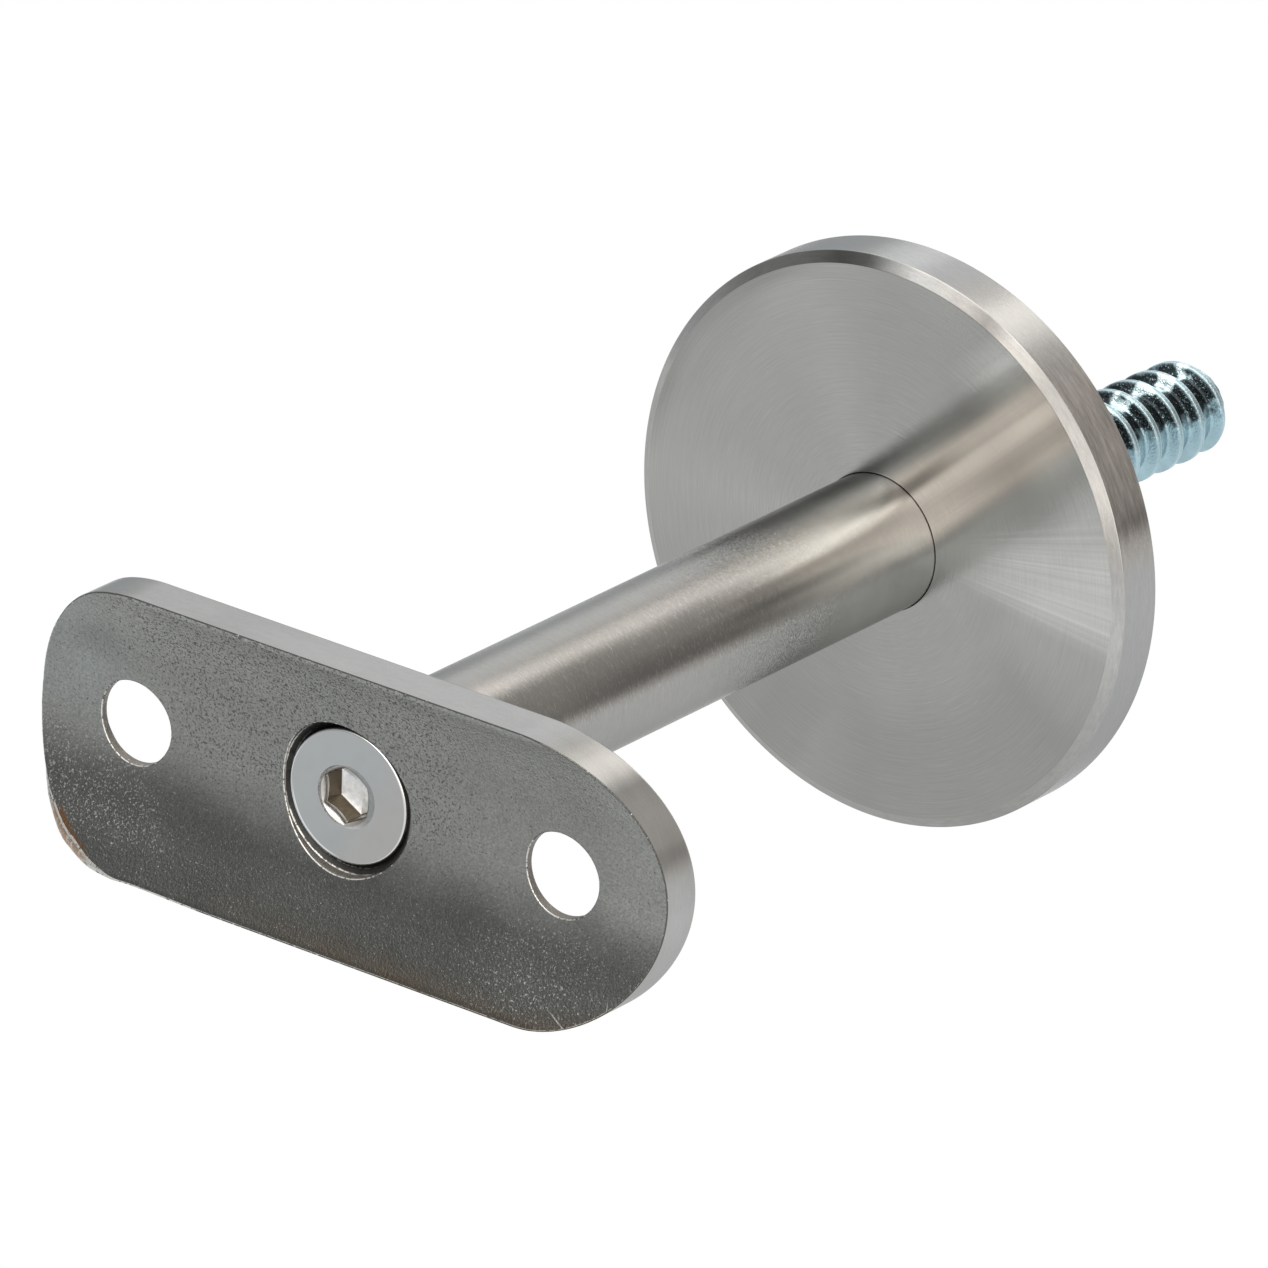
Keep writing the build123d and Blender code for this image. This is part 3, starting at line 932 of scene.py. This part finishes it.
# Rim of the flange: painted highlight along the top, painted shade at the upper left, and a warm, streaky band of
# painted light at the upper right between narrow painted bands
def rimTone(spot, x, y, z):
    turn = around(x, z)
    warm = band(turn, 15, 50, 8)
    streaks = noise(spot, (0.35, 2.2, 0.35), 3, 0.7)
    top = band(turn, 84, 96, 4)
    limb = band(turn, 118, 200, 5)
    tone = 1.02 + warm * (1.7 * (streaks - 0.5) + 0.34) + 0.28 * top - 0.6 * limb
    tone = tone - 0.45 * band(turn, 16.5, 20, 2.5) - 0.16 * band(turn, 49, 57, 3) + 0.14 * band(turn, 62, 68, 3)
    return blend(warm * 0.6, scaled(flange["rim"], tone), scaled((0.4, 0.368, 0.34), tone))


# the bevel's painted light and shade by angle, over real streaks
def bevelTone(spot, x, y, z):
    streaks = noise(spot, (0.8, 6, 0.8), 3, 0.7)
    tone = follow(around(x, z), flange["bevelTone"])
    return scaled(flange["bevel"], tone * (0.8 + 0.4 * streaks))


# the back, which lies against the wall
def backTone(spot, x, y, z):
    return scaled(flange["rim"], 0.86 + 0.2 * noise(spot, 0.3, 3))


def wallFlange():
    low, high = boxOf("wall_flange")
    radius, frontY = high[0], low[1]
    seat = boxOf("support_bar")[1][0] + flange["seatClearance"]
    seatY = frontY + flange["seatDepth"]
    hole, backBreak = flange["boltHole"], flange["backBreak"]
    flatEnd, bevelY = radius - flange["bevelIn"], frontY + flange["bevelBack"]
    r, y = softProfile([
        (hole, 0, 0.05), (radius - backBreak, 0, 0.04), (radius, -backBreak, 0.04),
        (radius, bevelY, 0.15), (flatEnd, frontY, 0.12),
        (seat, frontY, 0.04), (seat, seatY, 0), (hole, seatY, 0.05)], True)
    middle = (y[1:] + y[:-1]) / 2
    reach = (r[1:] + r[:-1]) / 2
    onFace = (middle < frontY + 0.02) & (reach < flatEnd)
    onBevel = (reach > flatEnd) & (middle < bevelY + 0.02)
    onBack = (middle > -0.02) | (reach < seat)
    finishes = [turnedSteel(), brushedSteel("brushed_flange_rim", rimTone, flange["rimRoughness"], 0.8, 0.3, 7.0),
                brushedSteel("bright_flange_bevel", bevelTone, 0.2, 0.5, 0.25, 8.0),
                brushedSteel("plain_flange_back", backTone, 0.34, 0.3, 0.1, 6.0)]
    makePiece("dressed_wall_flange", "wall_flange", finishes,
              [(turnedSheet(r, y, flange["steps"]), np.select([onFace, onBevel, onBack], [0, 2, 3], 1))])


wallFlange()


bolt = {
    "machineRadius": 3.95,
    "endChamfer": 0.8,
    "neckRadius": 3.7,
    "neckEnd": 3,
    "tipFlat": 3.2,
    "tipLength": 1.9,
    "endAt": 39.5,
    "pitch": 3.1,
    "threadDepth": 0.95,
    "crest": 0.42,  # width of the flat on the thread
    "flank": 0.62,  # width of each sloping side
    "turnShift": 0.35,  # where the thread starts round the bolt, in turns
    "steps": 168,
    "droop": 0.034,  # how far it hangs below the axis, as a share of its reach
    "colour": (0.345, 0.5, 0.56),
    # dark is painted dark reflection, and bright is painted highlight
    "dark": (0.028, 0.036, 0.04),
    "bright": (0.8, 0.93, 0.97),
}


# Blue zinc: two dark, gritty bands above that are painted dark reflection, a pale painted highlight between them, and
# bright crests of painted highlight
def zincPlate():
    material, spot, (x, y, z) = metal("bright_zinc_plate")
    grit = noise(spot, 4.5, 3, 0.65)
    cloud = noise(spot, 0.6, 2)
    turn = around(x, z + y * bolt["droop"])
    phase = (y - bolt["neckEnd"]) / bolt["pitch"] - bolt["turnShift"] + turn / 360
    off = phase - phase.math("ROUND", phase)
    away = off.math("ABSOLUTE", off) * bolt["pitch"]
    wander = turn + 60 * (cloud - 0.5)
    darkReflectionStrips = (band(wander, 18, 72, 6) + band(wander, 88, 128, 6)) * rise(away, 0.1, 0.45)
    darkReflectionStrips = darkReflectionStrips * rise(y, bolt["endAt"] - 0.1, bolt["endAt"] - 0.9)
    crest = band(away, 0.12, 0.26, 0.07) * (0.3 + 0.7 * band(wander, 12, 135, 10))
    body = scaled(bolt["colour"], 0.7 + 0.6 * cloud)
    body = blend(darkReflectionStrips * rise(grit, 0.72, 0.56), body, bolt["dark"])
    # a pale band and the crests: painted highlight
    pale = band(wander, 74, 86, 5)
    body = blend(pale * 0.8 + crest * 0.5, body, bolt["bright"])
    rough = 0.2 + 0.25 * (grit - 0.4)
    return finishMetal(material, bolt["colour"], body, rough, relief(grit, 0.6, 0.00012))


# Right-hand helix: at each angle the thread slides back along Y by its share of the pitch.
# radius = root + depth x shape, and the shape is 1 on the land and falls on an S curve.
def hangerBolt():
    low, high = boxOf("hanger_bolt")
    outer, frontY, tipY = high[0], low[1], high[1]
    seatY = boxOf("support_bar")[1][1]
    steps, pitch = bolt["steps"], bolt["pitch"]
    startY = bolt["neckEnd"]
    shoulderY = tipY - bolt["tipLength"]
    narrowing, run = outer - bolt["tipFlat"], bolt["tipLength"]
    nose = (narrowing ** 2 + run ** 2) / (2 * narrowing)  # arc that leaves the side straight

    def envelope(y):
        past = np.clip(y - shoulderY, 0, run)
        return outer - (nose - np.sqrt(nose ** 2 - past ** 2))

    angle = fullTurn(steps)
    turns = math.ceil((tipY - startY) / pitch) + 1
    half = pitch / 2
    land, flank = bolt["crest"] / 2, bolt["flank"]
    away = join([np.linspace(0, land, 3), land + flank * np.array([0.12, 0.3, 0.5, 0.7, 0.88, 1.0]),
                 np.linspace(land + flank, half, 5)[1:-1]])
    oneTurn = join([-away[:0:-1], away, [half]])
    s = (np.arange(turns)[:, None] * pitch + oneTurn[None]).reshape(-1) + startY
    y = np.clip(s[None] - pitch * angle / (2 * np.pi) + bolt["turnShift"] * pitch, startY, tipY)
    phase = (y - startY - bolt["turnShift"] * pitch) / pitch + angle / (2 * np.pi)
    distance = np.abs(phase - np.round(phase)) * pitch
    fall = np.clip((distance - land) / flank, 0, 1)
    shape = 1 - fall ** 2 * (3 - 2 * fall)
    runIn = np.clip((y - startY) / 1.6, 0, 1)
    limit = envelope(y)
    root = np.minimum(outer - bolt["threadDepth"], limit - 0.12 * np.clip((tipY - y) / run, 0, 1))
    radius = root + (limit - root) * shape * runIn ** 0.5
    thread = turnedSheet(radius, y, steps)

    thick, chamfer, neck = bolt["machineRadius"], bolt["endChamfer"], bolt["neckRadius"]
    shank = softProfile([
        (0, frontY, 0), (thick - chamfer, frontY, 0.05), (thick, frontY + chamfer, 0.05), (thick, seatY, 0.05),
        (neck, seatY, 0), (neck, startY - 0.3, 0)])
    shankSheet = turnedSheet(*shank, steps)
    collar = np.stack([shankSheet[:, -1], thread[:, 0]], 1)
    middle = np.zeros((steps + 1, 1, 3)) + [0, tipY, 0]
    tip = join([thread[:, -1:], thread[:, -1:] * [0.5, 1, 0.5], middle], 1)
    for sheet in (thread, tip, collar, shankSheet):  # it hangs: z falls as y grows
        sheet[..., 2] -= bolt["droop"] * np.clip(sheet[..., 1], 0, None)
    makePiece("dressed_hanger_bolt", "hanger_bolt", [zincPlate()],
              [(shankSheet, 0), (collar, 0), (thread, 0), (tip, 0)])


hangerBolt()


studio = {
    "floorDrop": 160,  # below the flange's lowest point
    "floorRadius": 1000,
    "floorCorners": 96,
    "floorColour": (0.82, 0.82, 0.82),
    "wallSide": [  # degrees from straight up towards +X, light and tint from there, behind the wall
        (-126, 0.25, 0), (-114, 0.42, 0), (-102, 0.7, -1), (-90, 0.82, -1), (-78, 0.9, -1), (-66, 0.92, 0),
        (-54, 1.33, 0), (-42, 1.28, 0), (-30, 1.12, 0), (-18, 1.1, 1), (-6, 1.9, 1), (6, 1.72, 1), (18, 0.88, 1),
        (30, 0.54, 1), (42, 0.44, 1), (66, 0.42, 1), (78, 0.38, 1), (88, 0.31, 1), (95, 0.5, 1), (103, 0.95, 1)],
    "railSide": [  # the same on the rail's side, with the key light
        (-126, 0.45, 0), (-78, 0.46, 0), (-62, 0.5, 0), (-50, 0.8, 0), (-40, 1.2, 0), (-24, 1.7, 1), (-8, 2.6, 1),
        (5, 4.2, 1), (18, 4, 1), (32, 3.1, 1), (44, 2.7, 1), (66, 2.1, 1), (80, 2.2, 1), (92, 1.6, 1), (104, 1, 1)],
    "warm": (1.058, 1, 0.945),
    "cool": (0.965, 1, 1.02),
}


def studioStops(rows):
    peak = max(level for _, level, _ in rows)
    stops = []
    for degrees, level, tint in rows:
        colour = {1: studio["warm"], -1: studio["cool"], 0: (1.0, 1.0, 1.0)}[tint]
        stops.append(((degrees + 180) / 360, [level / peak * c for c in colour]))
    return stops, peak


def makeWorld():
    world = bpy.data.worlds.new("soft_studio")
    world.use_nodes = True
    world.node_tree.nodes.clear()
    start = Wire(world.node_tree)
    ray = start.node("TexCoord", output="Generated")
    x, y, z = ray.axes()
    turn = x.math("ARCTAN2", x, z) / (2 * math.pi) + 0.5
    sides = []
    for rows in (studio["railSide"], studio["wallSide"]):
        stops, peak = studioStops(rows)
        colour = turn.node("ValToRGB", {"stops": stops}, {"Fac": turn})
        sides.append(turn.vector("MULTIPLY", colour, (peak, peak, peak)))
    light = blend(rise(y, -0.3, 0.25), sides[0], sides[1])
    light = blend(rise(y.math("ABSOLUTE", y), 0.975, 0.992), light, (1, 1, 1))  # where all angles meet
    glow = start.node("Background", None, {"Color": light, "Strength": 1})
    start.node("OutputWorld", None, {"Surface": glow})
    bpy.context.scene.world = world


# white to the camera, to metal and to glass, and a plain pale floor to all else
def makeFloor():
    corners = studio["floorCorners"]
    angle = fullTurn(corners)[:-1, 0]
    drop = cadLow.z - studio["floorDrop"] * mm
    rim = np.stack([np.cos(angle), np.sin(angle), 0 * angle], -1) * studio["floorRadius"] * mm
    mesh = bpy.data.meshes.new("pale_floor")
    mesh.from_pydata((rim + [0, 0, drop]).tolist(), [], [list(range(corners))])
    floor = addObject("pale_floor", mesh)
    material, start = newMaterial("pale_floor")
    ray = start.node("LightPath")
    seen = ray.other("Is Camera Ray") + ray.other("Is Glossy Ray") + ray.other("Is Transmission Ray")
    mask = seen.math("MINIMUM", seen, 1.0)
    plain = start.node("BsdfDiffuse", None, {"Color": (*studio["floorColour"], 1)})
    white = start.node("Emission", None, {"Color": (1, 1, 1, 1), "Strength": 1.0})
    both = start.node("MixShader", None, {0: mask, 1: plain, 2: white})
    start.node("OutputMaterial", None, {"Surface": both})
    mesh.materials.append(material)


view = {
    "azimuth": 37.44,  # degrees from -Y towards +X
    "elevation": 23.615,
    "roll": 1.959,
    "distance": 1162,  # millimetres from the wall face's centre
    "focal": 14005,  # in pixels of the picture
    "picture": 1268,
    "originAt": (913.6, 524.3),
    "sensor": 36,
}


# The camera looks along -back. The wall face's centre falls on the picture at originAt.
def makeCamera():
    azimuth, elevation, roll = [math.radians(view[k]) for k in ("azimuth", "elevation", "roll")]
    back = Vector((math.sin(azimuth) * math.cos(elevation), -math.cos(azimuth) * math.cos(elevation),
                   math.sin(elevation)))
    level = Vector((0, 0, 1)).cross(back).normalized()
    upright = back.cross(level)
    right = math.cos(roll) * level + math.sin(roll) * upright
    up = math.cos(roll) * upright - math.sin(roll) * level
    scale = view["distance"] / view["focal"]
    across = (view["originAt"][0] - view["picture"] / 2) * scale
    down = (view["originAt"][1] - view["picture"] / 2) * scale
    spot = (back * view["distance"] - right * across + up * down) * mm
    lens = bpy.data.cameras.new("camera")
    lens.sensor_width = view["sensor"]
    lens.lens = view["focal"] / view["picture"] * view["sensor"]
    lens.clip_end = 20
    camera = addObject("camera", lens)
    turn = Matrix((right, up, back)).transposed().to_4x4()
    camera.matrix_world = Matrix.Translation(spot) @ turn
    bpy.context.scene.camera = camera


makeWorld()
makeFloor()
makeCamera()
bpy.context.scene.view_settings.view_transform = "Standard"
print("studio ready")

bpy.context.view_layer.update()
